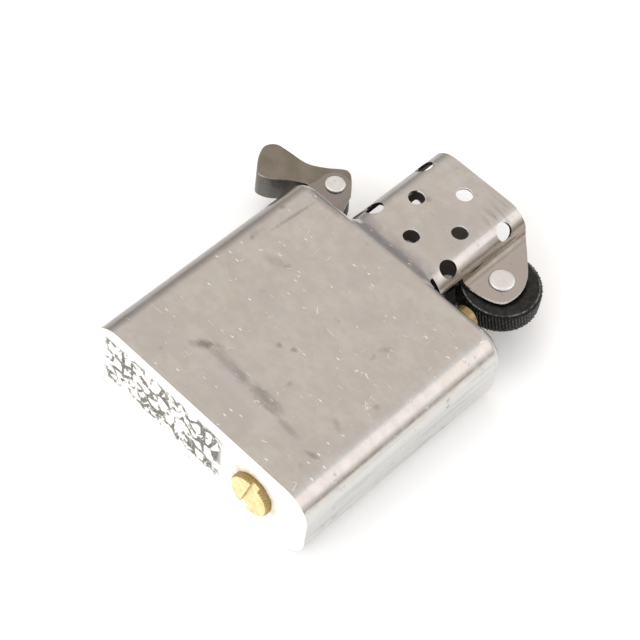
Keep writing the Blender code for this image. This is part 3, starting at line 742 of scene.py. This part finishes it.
def half_path():
    """The outside of the chimney's front half, from the cam-side slot to the flat of the wheel ear."""
    left, right = CHIMNEY_X - CHIMNEY_HALF_W, CHIMNEY_X + CHIMNEY_HALF_W
    front, r = CHIMNEY_HALF_T, CHIMNEY_CORNER
    centre = (right - r, front - r)
    gap = centre[1] - EAR_OUTSIDE - EAR_FILLET
    bend_x = centre[0] + sqrt((r + EAR_FILLET) ** 2 - gap**2)
    meet = degrees(atan2(-gap, bend_x - centre[0]))
    path = [(left, SLOT_HALF)]
    path += arc(left + r, front - r, r, 180, 90, 18)
    path += arc(centre[0], centre[1], r, 90, meet, 22)
    path += arc(bend_x, EAR_OUTSIDE + EAR_FILLET, EAR_FILLET, meet + 180, 270, 10)[1:]
    path.append((WHEEL_AXIS.x + 3.6 * MM, EAR_OUTSIDE))
    return path


def chimney_side(sign):
    """One half of the chimney with its wheel ear, as one bent sheet."""
    outside = half_path()
    section = outside + beside(outside, -EAR_T)[::-1]
    section = [(x, MID_Z + sign * z) for x, z in section]
    return loft("chimney_side", [level(y, section) for y in (SLOT_FOOT_Y, TOP_Y)])


def wheel_ear_trim():
    """All that isn't ear, to the right of the chimney."""
    ear = [
        (-3.2, 8.05), (-2.35, 7.35), (0, 5.0), (1.93, 2.82), (2.8, 0.55), (2.69, -1.7),
        (1.9, -2.8), (0.4, -3.45), (-1.3, -3.75), (-3.2, -4.1),
    ]
    edge = smooth_path(about(WHEEL_AXIS, ear), 8)
    right = WHEEL_AXIS.x + 8 * MM
    frame_points = [(edge[-1][0], SLOT_FOOT_Y - MM), (right, SLOT_FOOT_Y - MM), (right, TOP_Y + MM)]
    outline = frame_points + [(edge[0][0], TOP_Y + MM)] + edge
    return plate("ear_trim", outline, -MM, CASE_T + MM)


def cam_ear(sign):
    foot = -4.2
    side = [(-2.7, foot), (-2.1, -1.6)]
    top = arc(0, 0, 2.15, 190, 40, 20)
    outline = about(CAM_AXIS, side + top + [(2.6, 0.25), (4.4, foot)])
    low, high = sorted((MID_Z + sign * CAM_EAR_INSIDE, MID_Z + sign * CAM_EAR_OUTSIDE))
    return plate("cam_ear", outline, low, high, edge=0.06 * MM)


def air_holes():
    lower, middle, upper = (DECK_Y + row for row in HOLE_ROWS)
    for x, y in (
        (CHIMNEY_X, lower), (CHIMNEY_X, upper),
        (CHIMNEY_X - HOLE_STEP, middle), (CHIMNEY_X + HOLE_STEP, middle),
    ):
        yield cylinder("air_hole", (x, y, MID_Z), HOLE_R, 2 * CASE_T)
    reach_x = CHIMNEY_HALF_W - CHIMNEY_CORNER
    reach_z = CHIMNEY_HALF_T - CHIMNEY_CORNER
    for side_x in (-1, 1):
        for side_z in (-1, 1):
            for y, angle in zip((lower, upper), CORNER_HOLE_ANGLES):
                out = Vector((side_x * sin(angle), 0, side_z * cos(angle)))
                centre = Vector((CHIMNEY_X + side_x * reach_x, y, MID_Z + side_z * reach_z))
                centre += out * CHIMNEY_CORNER
                yield cylinder("corner_hole", centre, CORNER_HOLE_R, 3 * MM, out)


def case_cuts():
    inner_w, inner_t = CHIMNEY_HALF_W - EAR_T, CHIMNEY_HALF_T - EAR_T
    inside = rounded_box(CHIMNEY_X, MID_Z, inner_w, inner_t, CHIMNEY_CORNER - EAR_T)
    yield loft("chimney_inside", [level(y, inside) for y in (DECK_Y - 2 * MM, SLOT_FOOT_Y + 0.5 * MM)])
    yield wheel_ear_trim()
    yield from air_holes()
    notch_w, notch_h, notch_t = 2.2 * MM, 0.7 * MM, MM
    for side_z in (-1, 1):
        z = MID_Z + side_z * (CHIMNEY_HALF_T - 1.2 * MM)
        low_x = CHIMNEY_X + CHIMNEY_HALF_W - 2.0 * MM
        low_y = DECK_Y + 0.25 * MM
        low, high = (low_x, low_y, z - notch_t), (low_x + notch_w, low_y + notch_h, z + notch_t)
        yield box("base_notch", low, high)
    slot_z = CAM_HIGH.z - MID_Z - 0.1 * MM
    yield box(
        "cam_slot",
        (-17.0 * MM, DECK_Y - 2 * MM, MID_Z - slot_z), (-11.6 * MM, DECK_Y + 1.2 * MM, MID_Z + slot_z),
    )
    tube_r = (TUBE_HIGH.x - TUBE_LOW.x) / 2 + 0.1 * MM
    yield cylinder("tube_hole", (WHEEL_AXIS.x, DECK_Y, MID_Z), tube_r, 3 * MM, (0, 1, 0))
    yield cylinder("wheel_rivet_hole", (*WHEEL_AXIS[:2], MID_Z), WHEEL_RIVET_HOLE_R, CASE_T)
    yield cylinder("cam_rivet_hole", (*CAM_AXIS[:2], MID_Z), CAM_RIVET_HOLE_R, CASE_T)


def on_outside(place):
    """Whether a point lies on the outer face of the chimney or of a wheel ear."""
    if place.y < DECK_Y + 0.3 * MM:
        return False
    from_middle = abs(place.z - MID_Z)
    if place.x > WHEEL_AXIS.x - 2.0 * MM:
        return abs(from_middle - EAR_OUTSIDE) < 0.01 * MM
    across = max(abs(place.x - CHIMNEY_X) - (CHIMNEY_HALF_W - CHIMNEY_CORNER), 0)
    out = max(from_middle - (CHIMNEY_HALF_T - CHIMNEY_CORNER), 0)
    return abs(hypot(across, out) - CHIMNEY_CORNER) < 0.02 * MM


def break_edges(obj):
    """A small round on the outer cut edges: the air holes, the mouth and the wheel ears."""
    shape = bmesh.new()
    shape.from_mesh(obj.data)
    shape.edges.ensure_lookup_table()
    sharp = [
        edge.index for edge in shape.edges
        if edge.is_manifold and edge.calc_face_angle() > CUT_EDGE_ANGLE
        and all(on_outside(vert.co) for vert in edge.verts)
    ]
    shape.free()
    weights = obj.data.attributes.new("bevel_weight_edge", "FLOAT", "EDGE")
    for index in sharp:
        weights.data[index].value = 1.0
    bevel = obj.modifiers.new("broken", "BEVEL")
    bevel.limit_method = "WEIGHT"
    bevel.width = CUT_EDGE_ROUND
    bevel.segments = 2
    apply_modifiers(obj)


def make_case():
    case = body_solid()
    combine(case, [chimney_foot()], "UNION")
    combine(case, [body_hollow()], "DIFFERENCE")
    combine(case, [chimney_side(1), chimney_side(-1), cam_ear(1), cam_ear(-1)], "UNION")
    combine(case, list(case_cuts()), "DIFFERENCE")
    break_edges(case)
    smooth(case, 20)
    return case


# -------- moving pieces


def zigzag(value):
    """One at each whole number and zero halfway between."""
    return abs((value % 1.0) * 2 - 1)


def make_wheel():
    """The flint wheel: slanted file-cut teeth, crossed by a finer cut, between chamfered faces."""
    teeth, tooth_steps = 78, 6
    half = (WHEEL_HIGH.z - WHEEL_LOW.z) / 2
    depth, cross_depth, chamfer = 0.26 * MM, 0.11 * MM, 0.32 * MM
    bands, cross_rows, cross_turns = 20, 4, 7
    count = teeth * tooth_steps
    slant = radians(7)
    bore = 1.02 * MM
    rows = []
    for k in range(bands + 1):
        t = k / bands
        z = -half + chamfer + 2 * (half - chamfer) * t
        row = []
        for i in range(count):
            a = 2 * pi * i / count
            phase = (a + slant * t) * teeth / (2 * pi) % 1.0
            tooth = min(1.0, phase / 0.5, (1 - phase) / 0.25)
            cross = zigzag(t * cross_rows + a * cross_turns)
            row.append((WHEEL_R - depth * (1 - tooth) - cross_depth * cross * tooth, a, z))
        rows.append(row)
    edge_r = WHEEL_R - chamfer - 0.05 * MM
    faces = [
        (bore, half - 0.42 * MM), (2.7 * MM, half - 0.42 * MM), (3.1 * MM, half - 0.16 * MM),
        (3.9 * MM, half - 0.02 * MM), (edge_r - 0.12 * MM, half), (edge_r, half - 0.03 * MM),
        (edge_r + 0.1 * MM, half - 0.12 * MM),
    ]
    low_rings = [[(r, 2 * pi * i / count, -z) for i in range(count)] for r, z in faces]
    high_rings = [[(r, 2 * pi * i / count, z) for i in range(count)] for r, z in reversed(faces)]
    rings = low_rings + rows + high_rings
    shape = bmesh.new()
    middle = Vector((*WHEEL_AXIS[:2], MID_Z))
    verts = [
        [shape.verts.new((middle.x + r * cos(a), middle.y + r * sin(a), middle.z + z)) for r, a, z in ring]
        for ring in rings
    ]
    join_rings(shape, verts + verts[:1])
    wheel = as_object("wheel_detail", shape)
    smooth(wheel, 30)
    return wheel


CAM_HEEL_TO_TIP = [
    (2.3, 0.4), (1.3, 1.85), (0.15, 3.0), (-0.55, 3.38), (-1.4, 3.2), (-3.3, 1.5), (-5.4, 0.25),
    (-8.2, -0.08), (-10.2, -0.45), (-11.05, -1.8), (-10.45, -3.5), (-9.1, -5.2), (-8.2, -5.85),
]
CAM_UNDERSIDE = [(-6.6, -5.25), (-4.5, -3.3), (-2.1, -2.05), (0.3, -2.25), (1.9, -1.4)]


def make_cam():
    """The cam, folded from sheet: its cheeks run into the web with a round bend."""
    sheet = 0.38 * MM
    outline = smooth_path(about(CAM_AXIS, CAM_HEEL_TO_TIP + CAM_UNDERSIDE), 8, closed=True)
    cam = plate("cam_detail", outline, CAM_LOW.z, CAM_HIGH.z, edge=0.28 * MM, segments=5)
    web = smooth_path(about(CAM_AXIS, CAM_HEEL_TO_TIP[2:] + CAM_UNDERSIDE[:3]), 8)
    inner = beside(web, sheet) + about(CAM_AXIS, [(-2.1, -8.0), (4.0, -8.0), (4.0, 3.2)])
    hollow = plate("cam_hollow", inner, CAM_LOW.z + sheet, CAM_HIGH.z - sheet)
    bore = cylinder("cam_bore", (*CAM_AXIS[:2], MID_Z), 0.87 * MM, CASE_T)
    combine(cam, [hollow, bore], "DIFFERENCE")
    smooth(cam, 35)
    return cam


def make_rivet(name, node, dimple=None):
    """A rivet with a low domed head at each end, dished a little where it was closed."""
    low, high = corners(node)
    head_r = (high.x - low.x) / 2
    head_t = 0.35 * MM
    top = high.z - MID_Z
    seat = top - head_t
    shank_r = 0.95 * MM if head_r > 1.5 * MM else 0.8 * MM
    edge = [(head_r * r, top - drop * MM) for r, drop in (
        (0.25, 0.035), (0.5, 0.02), (0.72, 0.0), (0.86, 0.02),
        (0.94, 0.07), (0.985, 0.14), (1.0, 0.22), (0.99, 0.31),
    )]
    half = [(0, top - 0.04 * MM)] + edge + [(head_r * 0.97, seat), (shank_r, seat)]
    profile = half + [(r, -h) for r, h in reversed(half)]
    centre = Vector(((low.x + high.x) / 2, (low.y + high.y) / 2, MID_Z))
    rivet = turned(name, profile, centre, steps=72)
    if dimple:
        point = centre + Vector((*dimple, top))
        combine(rivet, [cylinder("dimple", point, 0.15 * MM, 0.4 * MM, steps=16)], "DIFFERENCE")
    smooth(rivet, 40)
    return rivet


def make_screw():
    """The flint screw: knurled head edge, turned face and sawn slot, and a threaded shank."""
    head_r = (SCREW_HIGH.x - SCREW_LOW.x) / 2
    head_t, slot_w, slot_deep = 1.1 * MM, 1.1 * MM, 0.55 * MM
    slot_angle = radians(14)
    knurls, steps, knurl_depth = 48, 6, 0.11 * MM
    count = knurls * steps
    shank_l = SCREW_HIGH.y - RIM_Y
    pitch, shank_r, thread = 0.5 * MM, 1.33 * MM, 0.12 * MM
    profile = [(head_r * 0.5, head_t, 0), (head_r - 0.34 * MM, head_t, 0)]
    profile += [(head_r - 0.16 * MM, head_t - 0.06 * MM, 0), (head_r, head_t - 0.24 * MM, 1)]
    profile += [(head_r, 0.14 * MM, 1), (head_r - 0.12 * MM, 0.0, 0), (1.5 * MM, 0.0, 0)]
    shank_steps = int(shank_l / pitch * 8)
    rings = [[(r, 2 * pi * i / count, h, k) for i in range(count)] for r, h, k in profile]
    for s in range(shank_steps + 1):
        h = -shank_l * s / shank_steps
        depths = [thread * zigzag(h / pitch + i / count) for i in range(count)]
        rings.append([
            (shank_r - deep, 2 * pi * i / count, h - 0.001 * MM, 0) for i, deep in enumerate(depths)
        ])
    shape = bmesh.new()

    def vertex(r, a, h, knurl):
        if knurl:
            r -= knurl_depth * zigzag(a * knurls / (2 * pi))
        return shape.verts.new((WHEEL_AXIS.x + r * cos(a), RIM_Y - h, MID_Z + r * sin(a)))

    verts = [[vertex(*point) for point in ring] for ring in rings]
    join_rings(shape, verts)
    shape.faces.new(verts[0])
    shape.faces.new(verts[-1])
    screw = as_object("screw_detail", shape)
    low, high = (-slot_w / 2, -head_t - MM, -2 * head_r), (slot_w / 2, slot_deep - head_t, 2 * head_r)
    slot = box("slot", low, high)
    turn = Matrix.Rotation(slot_angle, 4, "Y")
    slot.data.transform(Matrix.Translation((WHEEL_AXIS.x, RIM_Y, MID_Z)) @ turn)
    combine(screw, [slot], "DIFFERENCE")
    smooth(screw, 35)
    return screw


def make_tube():
    """The brass flint tube, its mouth turned to a round lip."""
    outer = (TUBE_HIGH.x - TUBE_LOW.x) / 2
    inner = 1.45 * MM
    length = TUBE_HIGH.y - TUBE_LOW.y
    lip = (outer - inner) / 2
    ring = [(inner + lip + lip * cos(a), length - lip + lip * sin(a)) for a in
            (radians(180 - 22.5 * i) for i in range(9))]
    ring += [(outer, 0), (inner, 0)]
    tube = turned("tube_detail", ring, (WHEEL_AXIS.x, TUBE_LOW.y, MID_Z), axis="Y", ring=True)
    smooth(tube, 40)
    return tube


# -------- soft pieces


def make_felt():
    """One piece of felt across the fold. Its face fills the rim, and its back fits inside the sheet."""
    front_margin, back_margin = RIM_T + 0.015 * MM, SHEET + 0.1 * MM
    face_y, back_y = PAD_LOW.y, PAD_HIGH.y
    step = 0.24 * MM
    columns, rows = int(CASE_W / step), int(CASE_T / step)
    hole_r = (TUBE_HIGH.x - TUBE_LOW.x) / 2 + 0.15 * MM

    def outline_point(i, j, margin):
        """A point of the square grid moved on to the round-cornered outline."""
        half_w, half_t, corner = CASE_W / 2 - margin, MID_Z - margin, CORNER - margin
        x, z = (2 * i / columns - 1) * half_w, (2 * j / rows - 1) * half_t
        over_x, over_z = abs(x) - (half_w - corner), abs(z) - (half_t - corner)
        if over_x > 0 and over_z > 0:
            scale = max(over_x, over_z) / hypot(over_x, over_z)
            x = (half_w - corner + over_x * scale) * (1 if x > 0 else -1)
            z = (half_t - corner + over_z * scale) * (1 if z > 0 else -1)
        return x, MID_Z + z

    def face_point(i, j):
        x, z = outline_point(i, j, front_margin)
        u, v = abs(2 * i / columns - 1), abs(2 * j / rows - 1)
        border = min(1.0, (1 - max(u**8, v**3)) * 2.2)
        place = Vector((x, z, 0)) / MM
        layers = ((0.10, 0.22), (0.06, 1.1), (0.035, 3.1))
        relief = sum(size * noise.noise(place * pitch) for size, pitch in layers)
        round_off = 0.14 * (1 - sqrt(max(border, 0)))
        return x, face_y + (round_off - 0.12 - relief * border) * MM, z

    def level_point(i, j, y, margin):
        x, z = outline_point(i, j, margin)
        return x, y, z

    shape = bmesh.new()
    cells = [(i, j) for i in range(columns + 1) for j in range(rows + 1)]
    face = {cell: shape.verts.new(face_point(*cell)) for cell in cells}
    back = {cell: shape.verts.new(level_point(*cell, back_y, back_margin)) for cell in cells}
    border = [(i, 0) for i in range(columns)] + [(columns, j) for j in range(rows)]
    border += [(i, rows) for i in range(columns, 0, -1)] + [(0, j) for j in range(rows, 0, -1)]
    rings = [face]
    for y, margin in ((RIM_Y + 0.38 * MM, front_margin), (RIM_Y + 0.6 * MM, back_margin)):
        rings.append({cell: shape.verts.new(level_point(*cell, y, margin)) for cell in border})
    rings.append(back)
    for sheet in (face, back):
        for i in range(columns):
            for j in range(rows):
                shape.faces.new([sheet[c] for c in ((i, j), (i + 1, j), (i + 1, j + 1), (i, j + 1))])
    for low, high in zip(rings, rings[1:]):
        for a, b in zip(border, border[1:] + border[:1]):
            shape.faces.new((low[a], low[b], high[b], high[a]))
    piece = as_object("felt_sheet", shape)
    hole = cylinder("felt_hole", (WHEEL_AXIS.x, face_y, MID_Z), hole_r, 8 * MM, (0, 1, 0))
    combine(piece, [hole], "DIFFERENCE")
    smooth(piece, 60)
    return piece


def make_wick():
    """A wick of three twisted strands, along the route of its plain solid."""
    low, high = corners("wick")
    strand_r, lay_r, turns = 0.62 * MM, 0.62 * MM, 9
    straight_y, foot_y = DECK_Y - 2 * MM, low.y + 0.1 * MM
    sway = (high.z - low.z) / 2 - 1.3 * MM
    waves, count = 2.5, 260
    length = high.y - foot_y
    data = bpy.data.curves.new("wick_detail", "CURVE")
    data.dimensions = "3D"
    data.bevel_depth = strand_r
    data.bevel_resolution = 3
    data.use_fill_caps = True
    for strand in range(3):
        spline = data.splines.new("POLY")
        spline.points.add(count - 1)
        for i, point in enumerate(spline.points):
            y = high.y - 0.05 * MM - (length - 0.1 * MM) * i / (count - 1)
            t = max(0.0, (straight_y - y) / (straight_y - foot_y))
            angle = 2 * pi * (turns * i / count + strand / 3)
            z = MID_Z + sway * 0.97 * sin(waves * 2 * pi * t) * min(1, 4 * t)
            point.co = (CHIMNEY_X + lay_r * cos(angle), y, z + lay_r * sin(angle), 1)
    return new_object("wick_detail", data)


def make_cotton(name):
    """A wad of cotton: its plain solid pushed in and out in soft lumps."""
    low, high = corners(name)
    centre, size = (low + high) / 2, (high - low) / 2
    shape = bmesh.new()
    bmesh.ops.create_icosphere(shape, subdivisions=5, radius=1.0)
    for vert in shape.verts:
        place = vert.co * size.length / MM * 0.5 + centre / MM
        lump = 0.05 * noise.noise(place * 0.5) + 0.03 * noise.noise(place * 1.4)
        lump += 0.015 * noise.noise(place * 3.5)
        vert.co *= 0.955 + min(lump, 0.04)
        vert.co = Vector(a * b for a, b in zip(vert.co, size)) + centre
    wad = as_object(name + "_wad", shape)
    smooth(wad, 60)
    return wad


# -------- stage


def make_camera():
    azimuth, elevation, roll = radians(37.14), radians(54.65), radians(9.1)
    distance, lens = 258.2 * MM, 116.2
    target = Vector((-2.73, 6.56, 5.0)) * MM
    back = Vector((sin(azimuth) * cos(elevation), -cos(azimuth) * cos(elevation), sin(elevation)))
    side = (-back).cross(Vector((0, 0, 1))).normalized()
    up = side.cross(-back)
    right = side * cos(roll) + up * sin(roll)
    top = up * cos(roll) - side * sin(roll)
    camera = bpy.data.cameras.new("camera")
    camera.lens = lens
    camera.sensor_width = 36
    camera.clip_start = 0.01
    obj = new_object("camera", camera)
    turn = Matrix((right, top, back)).transposed().to_4x4()
    obj.matrix_world = Matrix.Translation(target + back * distance) @ turn
    bpy.context.scene.camera = obj


def softbox(name, place, size, power):
    """A soft lamp turned towards the origin."""
    light = bpy.data.lights.new(name, "AREA")
    light.shape = "RECTANGLE"
    light.size, light.size_y = size
    light.energy = power
    obj = new_object(name, light)
    obj.location = place
    obj.rotation_euler = (-Vector(place)).to_track_quat("-Z", "Y").to_euler()
    obj.visible_glossy = False


def make_world():
    """A pale room: dark patches low down behind, and bright windows up on the right and in front."""
    world = bpy.data.worlds.new("room")
    bpy.context.scene.world = world
    world.use_nodes = True
    tree = world.node_tree
    background = tree.nodes["Background"]
    direction = tree.nodes.new("ShaderNodeTexCoord").outputs["Generated"]

    def patch(colour, under, towards, inner, outer):
        """A patch of the sky, fading out between two angles from its middle."""
        dot = tree.nodes.new("ShaderNodeVectorMath")
        dot.operation = "DOT_PRODUCT"
        tree.links.new(direction, dot.inputs[0])
        dot.inputs[1].default_value = Vector(towards).normalized()
        fade = tree.nodes.new("ShaderNodeMapRange")
        fade.interpolation_type = "SMOOTHSTEP"
        tree.links.new(dot.outputs["Value"], fade.inputs["Value"])
        fade.inputs["From Min"].default_value = cos(radians(outer))
        fade.inputs["From Max"].default_value = cos(radians(inner))
        mix = tree.nodes.new("ShaderNodeMix")
        mix.data_type = "RGBA"
        tree.links.new(fade.outputs["Result"], mix.inputs[0])
        if isinstance(under, bpy.types.NodeSocket):
            tree.links.new(under, mix.inputs[MIX_A])
        else:
            mix.inputs[MIX_A].default_value = (*under, 1)
        mix.inputs[MIX_B].default_value = (*colour, 1)
        return mix.outputs[MIX_RESULT]

    sky = (0.92, 0.91, 0.90)
    for colour, towards, inner, outer in (
        ((0.885, 0.815, 0.755), (-0.35, 0.46, 0.815), 15, 34),
        ((0.70, 0.65, 0.60), (-0.84, 0.46, 0.25), 8, 26),
        ((0.52, 0.50, 0.49), (-0.35, 0.88, 0.28), 6, 24),
        ((0.40, 0.34, 0.27), (0.86, 0.46, 0.06), 2, 11),
        ((1.5, 1.42, 1.40), (0.60, 0.46, 0.62), 14, 24),
        ((2.2, 2.2, 2.2), (-0.15, -0.82, 0.52), 16, 30),
    ):
        sky = patch(colour, sky, towards, inner, outer)
    tree.links.new(sky, background.inputs["Color"])
    background.inputs["Strength"].default_value = 1.0


def make_stage():
    shape = bmesh.new()
    bmesh.ops.create_grid(shape, x_segments=8, y_segments=8, size=0.6)
    floor = as_object("floor", shape)
    floor.data.materials.append(white_floor())
    floor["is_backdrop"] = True
    make_world()
    softbox("key", (-0.3, 0.1, 0.6), (0.35, 0.35), 0.6)
    softbox("fill", (0.1, -0.6, 0.35), (0.5, 0.5), 0.8)
    bpy.context.scene.view_settings.view_transform = "Standard"


# -------- assembly


def paint(obj, material):
    obj.data.materials.clear()
    obj.data.materials.append(material)


def place(piece, body, material, slot, *nodes):
    """Gives a piece its material and its body, and hides the nodes that it stands for."""
    paint(piece, material)
    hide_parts(*nodes)
    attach(piece, body)


def main():
    steel, dark, black = worn_steel(), dark_steel(), blackened_steel()
    bright, spring, yellow = bright_steel(), spring_steel(), brass()
    wool, wadding = felt(), cotton()

    place(make_case(), "case", steel, "worn_steel", "insert_case")
    place(make_wheel(), "wheel", black, "blackened_steel", "flint_wheel")
    place(make_cam(), "cam_lever", dark, "dark_steel", "cam")
    place(make_rivet("wheel_rivet_detail", "wheel_rivet"), "case", bright, "bright_steel", "wheel_rivet")
    cam_rivet = make_rivet("cam_rivet_detail", "cam_rivet", dimple=(-0.38 * MM, 0.22 * MM))
    place(cam_rivet, "case", bright, "bright_steel", "cam_rivet")
    place(make_screw(), "screw", yellow, "brass", "flint_screw")
    place(make_tube(), "case", yellow, "brass", "flint_tube")
    place(make_wick(), "case", wick_yarn(), "wick_yarn", "wick")
    for i in range(1, 7):
        name = f"cotton_ball_{i}"
        wad = make_cotton(name)
        place(wad, "case", wadding, "cotton", name)

    sheet = make_felt()
    paint(sheet, wool)
    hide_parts("felt_pad", "felt_flap")
    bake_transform(sheet)

    for node, material in (
        ("wick_plate", steel), ("cam_spring", spring), ("flint_spring", spring),
        ("spring_tip", yellow), ("flint", flint_alloy()),
    ):
        paint(frame["nodes"][node], material)


main()
make_stage()
make_camera()
boxes = {"cad": CAD_BOX, "visual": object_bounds()}
{key: [list(map(float, corner)) for corner in value] for key, value in boxes.items()}
